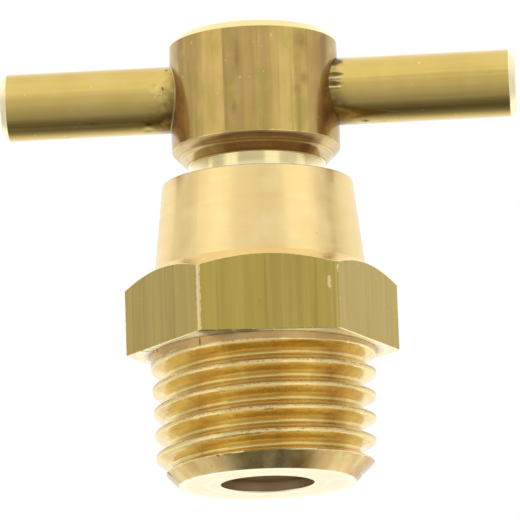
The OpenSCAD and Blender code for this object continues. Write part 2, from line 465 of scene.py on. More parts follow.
def rubberMaterial(name, finish):
    material = bpy.data.materials.new(name)
    material.use_nodes = True
    tree = material.node_tree
    tree.nodes.clear()
    place = addNode(tree, "ShaderNodeTexCoord").outputs["Object"]
    speckle = addNoise(tree, place, finish["scale"], 4.0)
    color = mixColors(tree, speckle.ramp(*finish["worn"]), finish["dark"], finish["light"])
    bump = addNode(tree, "ShaderNodeBump", {
        "Height": speckle, "Strength": finish["bump"], "Distance": finish["bumpDepth"] * mm})
    roughness = speckle.ramp(*finish["dull"], finish["smooth"], finish["rough"])
    shader = addNode(tree, "ShaderNodeBsdfPrincipled", {
        "Base Color": color, "Roughness": roughness, "Normal": bump.outputs[0]})
    output = tree.nodes.new("ShaderNodeOutputMaterial")
    tree.links.new(shader.outputs[0], output.inputs["Surface"])
    return material


def vary(base, **changes):
    return {**base, **changes}


groups = {
    "tone": makeToneGroup(), "marks": makeMarksGroup(), "specks": makeSpecksGroup(), "edge": makeEdgeGroup(),
}

# The bar's settings stand here, because its finish and the head's cross hole need them
barShape = {
    "length": 30.6, "offset": 0.25, "turn": -7.0, "rise": 4.35, "radius": 2.0, "chamfer": 0.35,
    "edgeRound": 0.06, "sloped": 0.3, "columns": 144, "coarseStep": 0.35, "fineStep": 0.1,
    "fineFrom": -9.0, "fineTo": -5.0,
    # Painted shade on the bar beside the head: reach and share, what its low side adds to both, and where
    # that side starts
    "grimeReach": 0.6, "lowReach": 1.4, "grimeShare": 0.33, "lowShare": 0.35, "grimeRise": 0.2,
    # Dark spots on the bar: place along it, angle round it from the front, size along, size round, strength;
    # those from 4.9 to 5.75 along it are painted shade in the serrations' gaps and at their end, the rest
    # dirt
    "dirt": [(5.0, 50.0, 0.22, 0.4, 3.0), (5.2, 74.0, 0.5, 0.3, 1.5), (4.9, 17.0, 0.34, 0.11, 2.6),
             (4.9, 0.0, 0.3, 0.11, 2.6), (5.75, 22.0, 0.04, 0.24, 1.0), (6.6, -80.0, 0.25, 0.2, 0.9),
             (7.5, -85.0, 0.2, 0.15, 0.8), (-6.3, -58.0, 0.2, 0.12, 1.2), (-9.6, -50.0, 0.5, 0.1, 0.6),
             (-5.1, 48.0, 0.1, 0.2, 0.9), (-5.3, 6.0, 0.07, 0.16, 0.8), (-5.15, -18.0, 0.06, 0.2, 0.8)],
    # Dents beside the head: place along the bar, angle round it from the front, size, depth
    "dents": [(-5.81, 10.0, 0.22, 0.06), (-5.37, 27.0, 0.2, 0.05), (-5.51, -8.0, 0.16, 0.05),
              (-5.22, -25.0, 0.2, 0.06), (-6.34, -75.0, 0.25, 0.05), (-5.1, -60.0, 0.2, 0.05)],
}

turnedFinish = {
    "marks": "turned",
    "tone": (0.87, 0.66, 0.28, 1.0), "stain": (0.80, 0.58, 0.23, 1.0), "pale": (0.92, 0.74, 0.38, 1.0),
    "streak": (0.88, 0.70, 0.34, 1.0), "line": (0.70, 0.50, 0.20, 1.0),
    "pit": (0.45, 0.30, 0.12, 1.0), "edge": (0.94, 0.78, 0.44, 1.0), "grime": (0.13, 0.08, 0.03, 1.0),
    "patchScale": 420.0, "stretch": 1.4, "stainShare": 0.5, "paleShare": 0.4,
    "streakShare": 0.35, "lineShare": 0.1, "fineScale": 11000.0, "broadScale": 2400.0, "run": 0.02,
    "soft": 0.2, "pitScale": 4600.0, "pitShare": 0.008, "pitDark": 0.4, "pitDeep": 0.3, "pitRough": 0.2,
    "nickScale": 3680.0, "nickShare": 0.02, "nickBright": 0.3, "grimeScale": 2600.0, "grimeBreak": 0.5,
    "edgeAmount": 0.6, "edgeBreak": 0.8, "breakScale": 5000.0, "grimeShare": 0.8, "grimeRough": 0.1,
    "mirror": (0.97, 0.86, 0.60, 1.0), "mirrorShare": 0.7,
    "smooth": 0.2, "rough": 0.27, "bump": 0.15, "bumpDepth": 0.01,
}
# Painted reflection: seen in other metal, the hexagon's top shows nearly black
hexTopFinish = vary(turnedFinish, mirror=(0.10, 0.065, 0.03, 1.0), mirrorShare=0.97)
bandFinish = vary(
    turnedFinish, tone=(0.53, 0.35, 0.135, 1.0), stain=(0.45, 0.28, 0.10, 1.0), pale=(0.66, 0.46, 0.22, 1.0),
    streak=(0.62, 0.43, 0.18, 1.0))
cutFinish = vary(
    turnedFinish, tone=(0.93, 0.82, 0.50, 1.0), stain=(0.88, 0.74, 0.40, 1.0), pale=(0.96, 0.88, 0.62, 1.0),
    streak=(0.95, 0.86, 0.58, 1.0), edge=(0.98, 0.92, 0.70, 1.0), smooth=0.24, rough=0.34)
bevelFinish = vary(
    turnedFinish, tone=(0.90, 0.74, 0.34, 1.0), stain=(0.84, 0.66, 0.26, 1.0), pale=(0.94, 0.82, 0.46, 1.0),
    streak=(0.92, 0.78, 0.40, 1.0))
# Painted shade: the rim's top and the mouth under the head are much darker than the turned brass, and the
# cone above mirrors them dark
mouthFinish = vary(
    turnedFinish, tone=(0.34, 0.23, 0.10, 1.0), stain=(0.26, 0.16, 0.07, 1.0), pale=(0.40, 0.28, 0.12, 1.0),
    streak=(0.38, 0.26, 0.11, 1.0), edge=(0.80, 0.62, 0.32, 1.0), smooth=0.45, rough=0.55)
headFinish = vary(
    turnedFinish, marks="drawn", tone=(0.77, 0.55, 0.17, 1.0), bandDark=(0.33, 0.20, 0.085, 1.0),
    # Painted reflection bands round the head: angle from the front and brightness
    bands=[(-90, 0.4), (-66, 0.25), (-61, 0.25), (-57, 0.5), (-46, 0.5), (-41, 0.6), (-37, 0.78),
           (-24.4, 1.0), (-24.0, 0.25), (-22, 0.5), (-17, 0.45), (-13, 0.4), (-12, 0.5), (-9, 0.75),
           (-6, 0.7), (-4, 0.52),
           (0, 0.7), (6.0, 0.64), (7.2, 0.76), (25.5, 0.78), (26, 0.68), (29, 0.88), (35, 0.84), (36, 0.66),
           (44, 0.36), (48, 0.25), (51, 0.08), (56, 0.0), (60, 0.3), (72, 0.4), (90, 0.45)],
    stain=(0.47, 0.38, 0.085, 1.0), pale=(0.72, 0.46, 0.19, 1.0), streak=(0.50, 0.315, 0.105, 1.0),
    line=(0.40, 0.27, 0.08, 1.0), edge=(0.92, 0.68, 0.27, 1.0), grime=(0.30, 0.17, 0.065, 1.0),
    patchScale=700.0, stretch=1.6, stainShare=0.8, paleShare=0.6, grimeShare=0.55,
    broadScale=1500.0, fineScale=6500.0, soft=0.04, streakShare=0.35, lineShare=0.4,
    smooth=0.1, rough=0.15, bump=0.1, pitShare=0.02, nickShare=0.04, nickBright=0.35, edgeAmount=0.4,
    mirror=(0.24, 0.155, 0.08, 1.0), mirrorShare=0.8)
coneFinish = vary(
    turnedFinish, tone=(0.80, 0.64, 0.32, 1.0), bandDark=(0.19, 0.10, 0.04, 1.0),
    # Painted reflection: dark in front, where it would mirror the body below it
    bands=[(-90, 1.0), (-52, 1.0), (-42, 0.4), (-32, 0.16), (-25, 0.0), (38, 0.0), (47, 0.25), (54, 0.85),
           (90, 1.0)],
    stain=(0.20, 0.11, 0.045, 1.0), pale=(0.42, 0.28, 0.12, 1.0), streak=(0.32, 0.20, 0.08, 1.0),
    edge=(0.90, 0.66, 0.27, 1.0), line=(0.26, 0.15, 0.06, 1.0), edgeAmount=0.2, edgeBreak=0.3,
    stainShare=0.35, paleShare=0.3, streakShare=0.3, lineShare=0.3, fineScale=9000.0, smooth=0.16,
    rough=0.26)
# Painted light: a paler tone and a paler painted reflection keep the neck bright in the shade under the head
neckFinish = vary(
    cutFinish, smooth=0.12, rough=0.2, tone=(0.99, 0.90, 0.57, 1.0), mirror=(0.99, 0.93, 0.72, 1.0))
taperFinish = vary(
    turnedFinish, tone=(0.96, 0.72, 0.305, 1.0), bandDark=(0.62, 0.455, 0.19, 1.0),
    # Painted reflection bands round the taper: angle from the front and brightness
    bands=[(-90, 0.9), (-62, 0.92), (-57, 0.5), (-46, 0.4), (-41, 0.6), (-39, 0.9), (-26, 1.0), (-22, 0.85),
           (-16, 0.72), (-8, 0.62), (0, 0.48), (6, 0.48), (9, 0.58), (14, 0.85), (24, 0.85), (30, 0.8),
           (33, 0.5), (37, 0.25), (41, 0.05), (43, 0.1), (46, 0.4), (51, 0.7), (62, 0.85), (90, 0.95)],
    pale=(0.97, 0.76, 0.40, 1.0), stain=(0.82, 0.60, 0.27, 1.0), stainShare=0.35, streakShare=0.25)
chamferFinish = vary(
    turnedFinish, marks="drawn", tone=(0.98, 0.78, 0.33, 1.0), bandDark=(0.26, 0.13, 0.02, 1.0),
    # Painted reflection bands round the chamfer: angle from the front and brightness
    bands=[(-90, 0.3), (-51, 0.3), (-46, 0.49), (-34, 0.51), (-24, 0.44), (-20, 0.48), (-16, 0.4),
           (-12, 0.48), (-7, 0.48), (-4, 0.85), (-1.5, 1.0), (1, 0.85), (3, 0.5), (6, 0.28), (9, 0.06),
           (16, 0.0), (22, 0.08), (25, 0.26), (30, 0.4), (38, 0.43), (50, 0.25), (90, 0.15)],
    streak=(0.60, 0.42, 0.18, 1.0), line=(0.40, 0.26, 0.11, 1.0), broadScale=1500.0, fineScale=5200.0,
    soft=0.1, streakShare=0.15, lineShare=0.12, stainShare=0.25, smooth=0.2, rough=0.28,
    pitShare=0.05, pitDark=0.6)
boreFinish = vary(
    turnedFinish, tone=(0.66, 0.48, 0.27, 1.0), stain=(0.54, 0.37, 0.20, 1.0), smooth=0.25, rough=0.4,
    streakShare=0.6, streak=(0.80, 0.62, 0.38, 1.0), stainShare=0.7, mirror=(0.6, 0.44, 0.26, 1.0))
threadFinish = vary(
    turnedFinish, tone=(0.86, 0.70, 0.29, 1.0), bandDark=(0.41, 0.235, 0.05, 1.0),
    # Painted reflection: browner in front, with a dark band towards each side
    bands=[(-90, 1.0), (-58, 1.0), (-49, 0.7), (-47, 0.65), (-46, 0.3), (-42, 0.45), (-36, 0.55), (-30, 0.8),
           (-24, 0.88), (-15, 0.8), (-12, 0.6), (0, 0.52), (8, 0.44), (16, 0.6), (24, 0.8), (31, 0.75),
           (36, 0.35), (40, 0.0), (43, 0.2), (49, 0.5), (57, 0.95), (90, 1.0)],
    stain=(0.64, 0.44, 0.12, 1.0), pale=(0.78, 0.55, 0.20, 1.0), streak=(0.67, 0.46, 0.14, 1.0),
    edge=(0.88, 0.70, 0.33, 1.0), line=(0.50, 0.32, 0.1, 1.0), stainShare=0.6, edgeAmount=0.8, edgeBreak=1.7,
    breakScale=6500.0, lineShare=0.3, pitShare=0.08, pitDark=0.6, smooth=0.15, rough=0.22, bump=0.12,
    patchScale=700.0, mirrorShare=0.2)
hexFinish = vary(
    turnedFinish, marks="drawn", tone=(0.50, 0.38, 0.078, 1.0), bandDark=(0.47, 0.34, 0.105, 1.0),
    # Painted reflection: the flats beside the front one are browner
    bands=[(-90, 0.0), (-30.5, 0.0), (-29.5, 1.0), (23, 1.0), (27, 0.7), (29.5, 0.7), (30.5, 0.2),
           (90, 0.2)],
    stain=(0.43, 0.31, 0.08, 1.0), pale=(0.54, 0.41, 0.12, 1.0), streak=(0.55, 0.42, 0.11, 1.0),
    line=(0.33, 0.23, 0.06, 1.0), edge=(0.90, 0.72, 0.36, 1.0), fineScale=7000.0, broadScale=2200.0,
    soft=0.22, streakShare=0.6, lineShare=0.35, smooth=0.22, rough=0.3, bump=0.25, stretch=6.0,
    stainShare=0.6, pitShare=0.012, nickShare=0.008, edgeAmount=0.8, edgeBreak=1.6)
barFinish = vary(
    turnedFinish, marks="bar", tone=(0.70, 0.50, 0.14, 1.0), stain=(0.60, 0.43, 0.11, 1.0),
    pale=(0.76, 0.58, 0.22, 1.0), streak=(0.72, 0.54, 0.18, 1.0), line=(0.46, 0.33, 0.10, 1.0),
    edge=(0.92, 0.78, 0.42, 1.0), fineScale=4200.0, broadScale=1500.0, streakShare=0.5, lineShare=0.25,
    # Painted reflection: a darker line runs along it just above its front
    bandDark=(0.50, 0.345, 0.10, 1.0),
    bands=[(-90, 1.0), (2, 1.0), (3.5, 0.75), (7.5, 0.6), (8.5, 0.95), (11, 1.0), (90, 1.0)],
    grime=(0.09, 0.055, 0.02, 1.0), grimeShare=0.9,
    mirror=(0.33, 0.21, 0.11, 1.0), mirrorShare=0.8,
    smooth=0.13, rough=0.2, bump=0.15, pitShare=0.02, nickShare=0.04, nickBright=0.6)
ridgeFinish = vary(
    barFinish, tone=(0.80, 0.65, 0.35, 1.0), stain=(0.44, 0.32, 0.12, 1.0), stainShare=0.8,
    pale=(0.95, 0.86, 0.62, 1.0), paleShare=0.6, patchScale=1500.0, edgeAmount=0.3, grimeShare=0.3)
jumperFinish = vary(turnedFinish, smooth=0.3, rough=0.4)
rubberFinish = {
    "dark": (0.012, 0.012, 0.014, 1.0), "light": (0.03, 0.03, 0.032, 1.0), "scale": 3000.0,
    "worn": (0.4, 0.7), "dull": (0.2, 0.8), "smooth": 0.65, "rough": 0.85, "bump": 0.4, "bumpDepth": 0.03,
}

materials = {
    "turned": brassMaterial("turnedBrass", turnedFinish),
    "hexTop": brassMaterial("hexTopBrass", hexTopFinish),
    "band": brassMaterial("bandBrass", bandFinish),
    "cut": brassMaterial("cutBrass", cutFinish),
    "bevel": brassMaterial("bevelBrass", bevelFinish),
    "cone": brassMaterial("coneBrass", coneFinish),
    "taper": brassMaterial("taperBrass", taperFinish),
    "chamfer": brassMaterial("chamferBrass", chamferFinish),
    "bore": brassMaterial("boreBrass", boreFinish),
    "ridge": brassMaterial("ridgeBrass", ridgeFinish),
    "mouth": brassMaterial("mouthBrass", mouthFinish),
    "head": brassMaterial("headBrass", headFinish),
    "neck": brassMaterial("neckBrass", neckFinish),
    "thread": brassMaterial("threadBrass", threadFinish),
    "hex": brassMaterial("hexSkinBrass", hexFinish),
    "bar": brassMaterial("drawnBarBrass", barFinish),
    "jumper": brassMaterial("jumperBrass", jumperFinish),
    "rubber": rubberMaterial("washerRubber", rubberFinish),
}
print("finishes made:", len(materials))


# Body: pipe thread, hexagon, tapered top, bores

bodyShape = {
    "threadLength": 7.8, "hexAcross": 2 * bodyTop.y, "cornerRound": 0.2,
    "bevelAngle": 30.0, "coneLength": 5.2, "coneAngle": 6.4, "rimWall": 1.65, "rimRound": 0.07,
    "mouthChamfer": 0.5,
    "floorRise": 0.4, "seatWidth": 0.5, "seatHeight": 0.4, "washerLap": 0.25, "flowGap": 0.5,
    "edgeRound": 0.05, "columns": 444, "warpShare": 0.6, "cornerWear": 0.15, "crestWear": 0.08,
    # Wear of the hexagon's corners, from the +X side round to the front, and of its flat edges
    "cornerShares": (0.5, 0.7, 0.4, 0.6, 1.0, 0.0),
    "cornerReach": 1.2, "cornerInner": 0.5, "nickStrength": 1.3,
    # The low edge's wear is dimmed near the front, a painted shade; the crests' upper halves keep less wear,
    # so the lower halves carry a painted highlight
    "lowEdge": 0.35, "lowEdgeFront": 32.0, "lowEdgeHeight": 0.2, "upperCrest": 0.3,
    # Darkening under the hexagon and painted shade on the crests' upper halves, with how far the first
    # reaches down, out and inward
    "underDirt": 0.6, "underDown": 0.12, "underOut": 0.1, "underIn": 1.0, "underSlack": 0.01,
    "crestDirt": 0.5, "dirtStrength": 1.2,
    # Faces within these distances and slopes take a surface's finish
    "slack": 0.02, "bandSlack": 0.04, "chamferSlack": 0.06, "steep": 0.5, "sloped": 0.3, "topInner": 6.0,
    # Dark spots and nicks: angle from +X, height, size across, size upward
    "dirt": [(233.5, 7.5, 0.07, 0.28), (243.0, 7.8, 0.6, 0.05), (250.0, 7.8, 0.5, 0.05),
             (259.0, 7.8, 0.7, 0.03), (198.0, 7.7, 0.16, 0.12), (192.0, 7.75, 0.12, 0.12),
             (187.0, 0.75, 0.2, 0.4), (239.0, 0.82, 0.1, 0.05), (245.0, 0.84, 0.35, 0.04),
             (266.5, 9.5, 0.05, 0.12), (266.5, 11.2, 0.05, 0.12)],
    "nicks": [(297.0, 10.5, 0.09, 0.35), (300.5, 11.3, 0.1, 0.16), (203.0, 8.6, 0.07, 0.12)],
}
threadShape = {
    "gaugeDiameter": 13.16, "gaugeHeight": 6.0, "taperShare": 0.0625, "pitch": 1.337, "depth": 0.856,
    "flankAngle": 27.5, "plainLength": 0.45, "endChamfer": 1.2, "startShare": 0.257, "runOutAngle": 120.0,
    "crestRound": 0.06, "rootRound": 0.2, "rowsPerTurn": 26, "ragged": 0.035, "raggedSize": 0.3, "seed": 3.0,
    # The grid starts this many turns below the end face, and the ragged edge fades in over a few rows
    "turnsBelow": 2.0, "fadeRows": 3.0, "torn": (0.5, 0.75),
}


def crestRadius(height):
    above = height - threadShape["gaugeHeight"]
    return (threadShape["gaugeDiameter"] + above * threadShape["taperShare"]) / 2


def hexRadius(angle, shape):
    # Distance from the axis to the hexagon's side, with its corners rounded
    fromCorner = (angle + math.radians(30)) % math.radians(60) - math.radians(30)
    half = shape["hexAcross"] / 2
    centre = (half - shape["cornerRound"]) / math.cos(math.radians(30))
    sideways = centre * math.sin(fromCorner)
    touch = math.atan2(shape["cornerRound"] / 2, centre + shape["cornerRound"] * math.cos(math.radians(30)))
    if abs(fromCorner) < touch:
        return centre * math.cos(fromCorner) + math.sqrt(shape["cornerRound"] ** 2 - sideways ** 2)
    return half / math.cos(math.radians(30) - abs(fromCorner))


def bodySection(radius, shape):
    # Section of the body where the hexagon is as far from the axis as the radius given
    threadTop = shape["threadLength"]
    seatRadius = boreRadius + shape["seatWidth"]
    tapRadius = seatRadius + shape["washerLap"] + shape["flowGap"]
    rimRadius = tapRadius + shape["rimWall"]
    coneRadius = rimRadius + shape["coneLength"] * math.tan(math.radians(shape["coneAngle"]))
    coneFoot = bodyTop.z - shape["coneLength"]
    bevelRun = (radius - coneRadius) * math.tan(math.radians(shape["bevelAngle"]))
    floor = threadTop + shape["floorRise"]
    seat = floor + shape["seatHeight"]
    mouth = shape["mouthChamfer"]
    edge = shape["edgeRound"]
    endRadius = crestRadius(0) - threadShape["endChamfer"]
    return fillSection([
        (crestRadius(threadTop), threadTop, 0, 2, 0),
        (radius, threadTop, edge, 14, 1),
        (radius, coneFoot - bevelRun, edge, 4, 1),
        (coneRadius, coneFoot, 0, 8, 0),
        (rimRadius, bodyTop.z, shape["rimRound"], 2, 0),
        (tapRadius + mouth, bodyTop.z, 0, 1, 0),
        (tapRadius, bodyTop.z - mouth, 0, 4, 0),
        (tapRadius, floor, 0, 1, 0),
        (seatRadius, floor, 0, 1, 0),
        (seatRadius, seat, 0, 1, 0),
        (boreRadius, seat, 0, 4, 0),
        (boreRadius, 0, edge, 3, 0),
        (endRadius, 0, 0, 1, 0),
    ])


def threadTree():
    # Rows of a grid follow the helix, so that crests and roots lie along its edges
    tree, given, result = newTree("taperThread", "GeometryNodeTree", [
        ("Pitch", "Float"), ("Length", "Float"), ("Crest Radius", "Float"), ("Taper Slope", "Float"),
        ("Depth", "Float"), ("Flank Slope", "Float"), ("Groove Half Width", "Float"),
        ("End Radius", "Float"), ("Start Share", "Float"), ("Last Turn", "Float"),
        ("Run Out Turns", "Float"),
        ("Crest Round", "Float"), ("Root Round", "Float"), ("Ragged", "Float"), ("Ragged Size", "Float"),
        ("Columns", "Int"), ("Rows Per Turn", "Int"), ("Turns", "Int"), ("Seed", "Float"),
        ("Material", "Material")], [("Geometry", "Geometry")])
    rowCount = given["Rows Per Turn"] * given["Turns"]
    grid = addNode(tree, "GeometryNodeMeshGrid", {
        "Size X": 1.0, "Size Y": 1.0, "Vertices X": given["Columns"] + 1.0, "Vertices Y": rowCount + 1.0})
    across, upward, _ = splitVector(tree, addNode(tree, "GeometryNodeInputPosition").outputs[0])
    turn = across + 0.5
    climb = (upward + 0.5) * given["Turns"] - threadShape["turnsBelow"] + given["Start Share"] + turn
    rowHeight = given["Pitch"] / given["Rows Per Turn"]
    free = climb * given["Pitch"]
    # Heights within half a row of an end move to it, which keeps the end rings whole
    low = free.math("GREATER_THAN", rowHeight * 0.5)
    raised = free * low
    high = raised.math("GREATER_THAN", given["Length"] - rowHeight * 0.5)
    height = (given["Length"] * high + raised * (high * -1.0 + 1.0))

    angle = turn * math.tau
    wind = climb - turn - given["Start Share"]
    grooveTurn = wind.math("ROUND")
    crest = given["Crest Radius"] + height * given["Taper Slope"]
    rough = joinVector(tree, angle.math("COSINE") * crest, angle.math("SINE") * crest, height)
    jagged = addNode(tree, "ShaderNodeTexNoise", {
        "Vector": rough, "W": given["Seed"], "Scale": given["Ragged Size"].math("POWER", -1.0),
        "Detail": 3.0}, noise_dimensions="4D")
    jagged = Field(tree, jagged.outputs[0])
    lastTurn = (given["Last Turn"] - grooveTurn - turn) / given["Run Out Turns"]
    kept = lastTurn.math("MINIMUM", 1.0).math("MAXIMUM", 0.0)
    lost = (kept * -1.0 + 1.0) * given["Depth"]
    fade = rowHeight * threadShape["fadeRows"]
    ends = height.ramp(0.0, fade) * height.ramp(given["Length"], given["Length"] - fade) * kept

    fromGroove = (wind - grooveTurn).math("ABSOLUTE") * given["Pitch"]
    fromGroove = fromGroove + (jagged - 0.5) * given["Ragged"] * ends
    slope = (given["Groove Half Width"] - fromGroove) / given["Flank Slope"] - lost
    cut = slope.math("SMOOTH_MAX", 0.0, given["Crest Round"])
    cut = cut.math("SMOOTH_MIN", given["Depth"] - lost, given["Root Round"]).math("MAXIMUM", 0.0)
    fromEdge = (given["Groove Half Width"] - fromGroove).math("ABSOLUTE")
    nearEdge = fromEdge.ramp(0.0, given["Crest Round"] * 2.0, 1.0, 0.0)
    torn = jagged.ramp(*threadShape["torn"]) * nearEdge * given["Ragged"] * ends
    chamfered = given["End Radius"] + height
    radius = (crest - cut - torn).math("MINIMUM", chamfered)
    position = joinVector(tree, angle.math("COSINE") * radius, angle.math("SINE") * radius, height)
    shaped = addNode(tree, "GeometryNodeSetPosition", {
        "Geometry": grid.outputs["Mesh"], "Position": position})
    merged = addNode(tree, "GeometryNodeMergeByDistance", {
        "Geometry": shaped.outputs[0], "Distance": mergeDistance * mm})
    real = addNode(tree, "GeometryNodeRealizeInstances", {"Geometry": merged.outputs[0]})
    painted = addNode(tree, "GeometryNodeSetMaterial", {
        "Geometry": real.outputs[0], "Material": given["Material"]})
    feed(tree, result.inputs["Geometry"], painted.outputs[0])
    return tree


def makeThread(length):
    shape = threadShape
    flank = math.tan(math.radians(shape["flankAngle"]))
    crestFlat = shape["pitch"] / 2 - shape["depth"] * flank
    turns = math.ceil(length / shape["pitch"] + shape["turnsBelow"])
    return runNodes("pipeThread", threadTree(), {
        "Pitch": shape["pitch"] * mm, "Length": length * mm, "Crest Radius": crestRadius(0) * mm,
        "Taper Slope": shape["taperShare"] / 2, "Depth": shape["depth"] * mm, "Flank Slope": flank,
        "Groove Half Width": (shape["pitch"] - crestFlat) / 2 * mm,
        "End Radius": (crestRadius(0) - shape["endChamfer"]) * mm, "Start Share": shape["startShare"],
        "Last Turn": (length - shape["plainLength"]) / shape["pitch"] - shape["startShare"],
        "Run Out Turns": shape["runOutAngle"] / 360, "Crest Round": shape["crestRound"] * mm,
        "Root Round": shape["rootRound"] * mm, "Ragged": shape["ragged"] * mm,
        "Ragged Size": shape["raggedSize"] * mm, "Columns": bodyShape["columns"],
        "Rows Per Turn": shape["rowsPerTurn"], "Turns": turns, "Seed": shape["seed"],
        "Material": materials["thread"]})


def spotShare(place, spots):
    # Share of the strongest spot at a place on the body, with spots given by angle and height
    best = 0.0
    angle = math.degrees(math.atan2(place.y, place.x)) % 360
    radius = Vector(place[:2]).length
    for fromX, height, across, tall in spots:
        aside = radius * math.radians((angle - fromX + 180) % 360 - 180) / across
        above = (place.z - height) / tall
        if aside * aside + above * above < 4:
            best = max(best, math.exp(-aside * aside - above * above))
    return best


def fromCrest(place):
    # Pitches from the middle of the nearest crest, downward as negative
    turn = math.atan2(place.y, place.x) / math.tau
    return (place.z / threadShape["pitch"] - turn - threadShape["startShare"]) % 1.0 - 0.5


def bodyWear(place, bent):
    # Wear from the bend of the edges, the thread's flat crests, the hexagon's corners and a few nicks
    shape = bodyShape
    radius = Vector(place[:2]).length
    if place.z < shape["threadLength"] - threadShape["plainLength"]:
        # Painted highlight: the lower half of each crest stays brighter than the upper half
        half = 1.0 if fromCrest(place) < 0 else shape["upperCrest"]
        lost = crestRadius(place.z) - radius
        return max(bent, half * (1.0 - lost / shape["crestWear"]))
    fromFront = math.degrees(math.atan2(place.x, -place.y))
    # Painted shade: the low edge is dimmed near the front
    nearFront = abs(fromFront) < shape["lowEdgeFront"]
    if nearFront and place.z < shape["threadLength"] + shape["lowEdgeHeight"]:
        bent *= shape["lowEdge"]
    if place.z < bodyTop.z - shape["coneLength"] and radius > shape["hexAcross"] / 2:
        sector = (math.degrees(math.atan2(place.y, place.x)) + 30) % 360
        fromCorner = abs(sector % 60 - 30)
        share = shape["cornerShares"][int(sector // 60)]
        near = shape["cornerReach"] - radius * math.radians(fromCorner) / shape["cornerWear"]
        bent = max(bent * (share if near > shape["cornerInner"] else 1.0), share * near)
    return max(bent, spotShare(place, shape["nicks"]) * shape["nickStrength"])


def bodyDarkening(place):
    # Darkening: the groove under the hexagon, painted shade on the crests' upper halves, and a few dark
    # spots
    shape = bodyShape
    darkening = 0.0
    radius = Vector(place[:2]).length
    below = shape["threadLength"] - place.z
    if boreRadius + shape["underIn"] < radius < crestRadius(place.z) + shape["underOut"]:
        if below > -shape["underSlack"]:
            darkening = shape["underDirt"] - below / shape["underDown"]
    # Painted shade: the crest's upper half is dull
    if threadShape["endChamfer"] < place.z < shape["threadLength"] - threadShape["plainLength"]:
        if fromCrest(place) > 0:
            darkening = shape["crestDirt"] * (1.0 - (crestRadius(place.z) - radius) / shape["crestWear"])
    return max(darkening, spotShare(place, shape["dirt"]) * shape["dirtStrength"])


def makeBody():
    shape = bodyShape
    sector = math.radians(60)
    sections = []
    for column in range(shape["columns"]):
        angle = math.tau * column / shape["columns"]
        # The warp draws columns towards the hexagon's corners
        share = angle / sector
        warp = -sector * shape["warpShare"] / math.tau * math.sin(math.tau * share)
        section = bodySection(hexRadius(angle + warp, shape), shape)
        sections.append([(radius, angle + warp * pull, height) for radius, height, pull in section])
    rows = []
    for row in zip(*sections):
        rows.append([Vector((r * math.cos(a), r * math.sin(a), z)) for r, a, z in row])
    mesh = gridMesh("turned_body", rows)
    slots = ("turned", "hex", "thread", "cut", "mouth", "band", "taper", "chamfer", "bore", "hexTop")
    for name in slots:
        mesh.materials.append(materials[name])
    top = bodyTop.z - shape["coneLength"]
    apothem = shape["hexAcross"] / 2
    for face in mesh.polygons:
        centre = face.center / mm
        radius = Vector(centre[:2]).length
        upward = face.normal.z
        outside = radius > crestRadius(centre.z)
        aboveThread = centre.z > shape["threadLength"]
        if radius > apothem - shape["slack"] and abs(upward) < shape["steep"] and centre.z < top:
            face.material_index = slots.index("hex")
        elif centre.z < shape["edgeRound"] or outside and upward < -shape["steep"]:
            face.material_index = slots.index("cut")
        elif upward > shape["sloped"] and centre.z > bodyTop.z - shape["mouthChamfer"]:
            face.material_index = slots.index("mouth")
        elif centre.z > top and face.normal.dot(Vector((centre.x, centre.y, 0))) > 0:
            face.material_index = slots.index("taper")
        elif radius < boreRadius + shape["slack"]:
            face.material_index = slots.index("bore")
        elif outside or aboveThread and upward > shape["steep"] and radius > shape["topInner"]:
            face.material_index = slots.index("hexTop")
    thread = makeThread(shape["threadLength"])
    cleanMesh(mesh, wearAt=bodyWear, dirtAndShadeAt=bodyDarkening, addFrom=thread.data, addSlot=slots.index("thread"))
    for face in mesh.polygons:
        if face.material_index == slots.index("thread"):
            centre = face.center / mm
            lost = crestRadius(centre.z) - Vector(centre[:2]).length
            chamfered = threadShape["endChamfer"] - centre.z
            fromEnd = shape["threadLength"] - centre.z
            if fromEnd < threadShape["plainLength"] and lost < shape["bandSlack"]:
                face.material_index = slots.index("band")
            elif chamfered > 0 and abs(lost - chamfered) < shape["chamferSlack"]:
                face.material_index = slots.index("chamfer")
    bpy.data.objects.remove(thread)
    return addPiece("turned_body", mesh, "body", "turned_brass", "body")


body = makeBody()
print("body:", len(body.data.polygons), "faces")


# Spindle: head, neck and threaded shank

spindleShape = {
    "shankRadius": 3.92, "neckRadius": 2.9, "shoulderDrop": 1.7, "flatsAcross": 6.2, "noseChamfer": 0.4,
    "headRadius": spindleTop.x, "headHeight": 7.8, "headUnder": 0.95, "headBevel": 0.45, "edgeRound": 0.07,
    "underRound": 0.3, "grooveAt": 0.52, "grooveHalf": 0.07, "grooveDepth": 0.018,
    "lowReach": 2.0, "stemHoleRadius": 1.38, "stemHoleDepth": 3.9, "columns": 288, "holeGap": 0.03,
    "holeSides": 128, "cutterShare": 3, "grimeReach": 0.75, "grimeInner": 1.0, "sloped": 0.3,
    # Faint dirt on the head: angle from +X, height, size across, size upward
    "smudges": [(301.0, 25.7, 0.5, 0.6), (303.0, 23.4, 0.4, 0.45), (297.0, 22.7, 0.35, 0.3),
                (255.5, 24.6, 0.2, 0.9), (253.0, 21.6, 0.16, 0.5)],
    "smudgeShare": 0.8,
}


